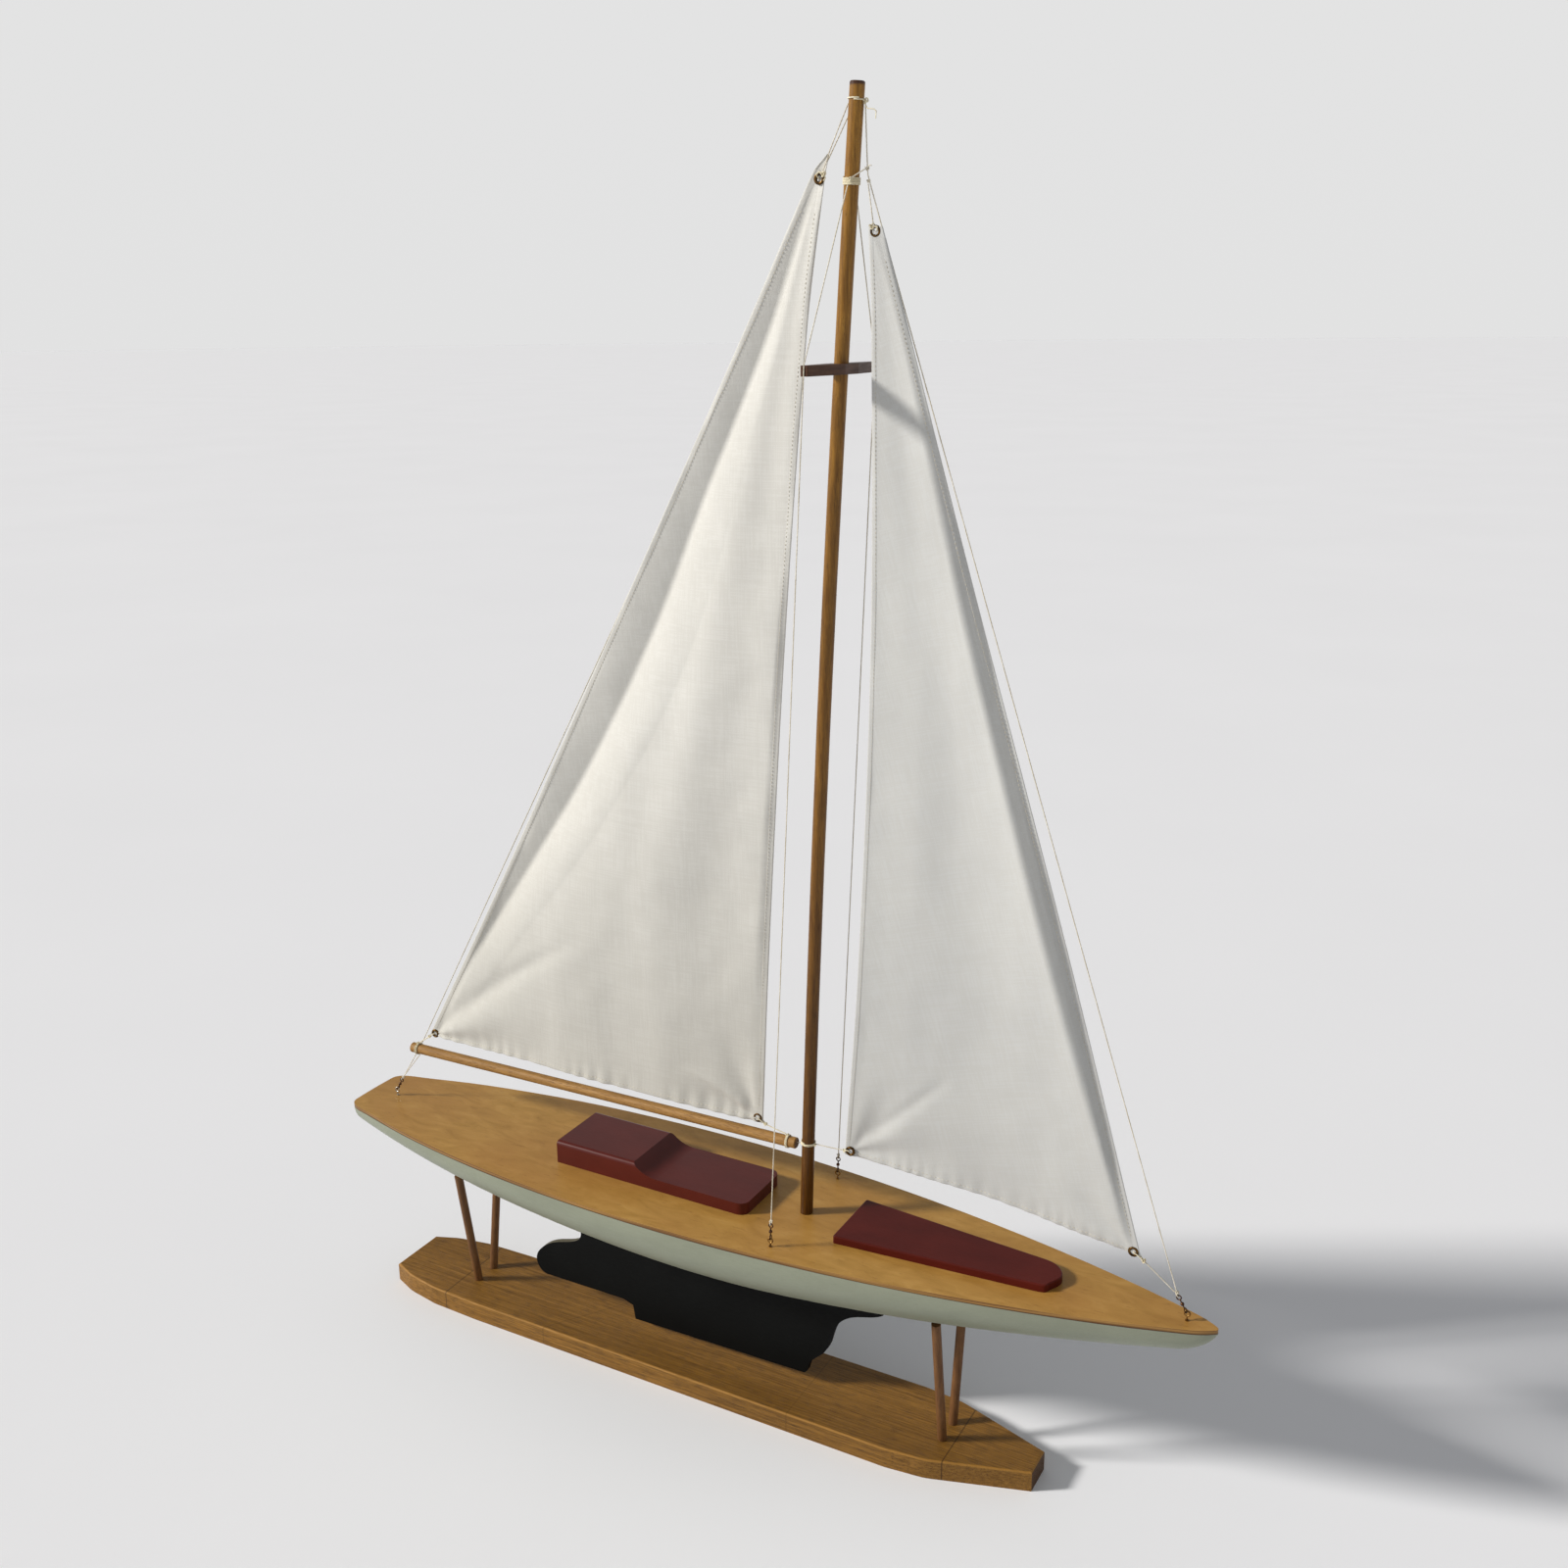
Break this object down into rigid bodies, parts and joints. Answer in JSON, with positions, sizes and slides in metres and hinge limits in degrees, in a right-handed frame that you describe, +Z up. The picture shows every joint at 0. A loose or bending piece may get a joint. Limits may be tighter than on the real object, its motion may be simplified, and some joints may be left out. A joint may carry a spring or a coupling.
{
  "type": "pond yacht model",
  "caption": "Sloop-rigged wooden pond yacht model on a dowel stand, with cotton sails, a boom that swings, a jib that swings and a hull that lifts off",
  "frame": {"origin": "under the middle of the overall length, on the surface that the stand rests on", "axes": "+X towards the bow, +Y to port, +Z up"},
  "size_m": [0.7009, 0.137, 0.9003],
  "materials": {
    "base_wood": "satin",
    "strut_dowel": "satin",
    "hull_paint": "satin paint",
    "deck_plywood": "satin varnish",
    "pine": "bare",
    "keel_black": "matt paint",
    "oxblood_paint": "gloss paint",
    "mast_dowel": "satin varnish",
    "dark_wood": "satin stain",
    "boom_dowel": "bare",
    "plated_wire": "polished",
    "dark_wire": "tarnished",
    "eyelet_brass": "antique",
    "sailcloth": "plain weave cotton",
    "cord": "twisted cotton"
  },
  "bodies": {
    "stand": {"base_bow_board": "base_wood", "base_centre_board": "base_wood", "base_stern_board": "base_wood", "strut_bow_port": "strut_dowel", "strut_bow_starboard": "strut_dowel", "strut_stern_port": "strut_dowel", "strut_stern_starboard": "strut_dowel"},
    "boat": {"backstay": "cord", "deck": "deck_plywood", "deckhouse": "oxblood_paint", "fore_hatch": "oxblood_paint", "forestay": "cord", "gooseneck_lashing": "cord", "hounds_lashing": "cord", "hounds_tie": "cord", "hull_shell": "hull_paint", "jib_clew_line": "cord", "jib_tack_line": "cord", "keel_plate": "keel_black", "mainsheet": "cord", "mast": "mast_dowel", "mast_step": "pine", "masthead_lashing": "cord", "screw_eye_bow": "plated_wire", "screw_eye_port": "plated_wire", "screw_eye_starboard": "plated_wire", "screw_eye_stern": "plated_wire", "shroud_port": "cord", "shroud_starboard": "cord", "spreader": "dark_wood", "swivel_bow": "dark_wire", "swivel_port": "dark_wire", "swivel_starboard": "dark_wire", "swivel_stern": "dark_wire"},
    "main_boom": {"boom": "boom_dowel", "boom_fore_lashing": "cord", "boom_aft_lashing": "cord", "mainsail": "sailcloth", "main_head_grommet": "eyelet_brass", "main_clew_grommet": "eyelet_brass", "main_tack_grommet": "eyelet_brass", "main_halyard": "cord", "main_clew_cord": "cord", "main_tack_cord": "cord", "gooseneck_cord": "cord"},
    "headsail": {"jib": "sailcloth", "jib_head_grommet": "eyelet_brass", "jib_clew_grommet": "eyelet_brass", "jib_tack_grommet": "eyelet_brass", "jib_halyard": "cord"}
  },
  "joints": [
    {"name": "stand_lift", "type": "slide", "parent": "stand", "child": "boat", "axis": [0, 0, 1], "range_m": [0, 0.08]},
    {"name": "boom_swing", "type": "hinge", "parent": "boat", "child": "main_boom", "pos_m": [0.0585, 0, 0.2135], "axis": [0.0524, 0, 0.9986], "range_deg": [0, 35], "deforming": ["mainsheet"]},
    {"name": "jib_swing", "type": "hinge", "parent": "boat", "child": "headsail", "pos_m": [0.299, 0, 0.1968], "axis": [-0.2882, 0, 0.9576], "range_deg": [0, 30], "deforming": ["jib_clew_line"]}
  ]
}
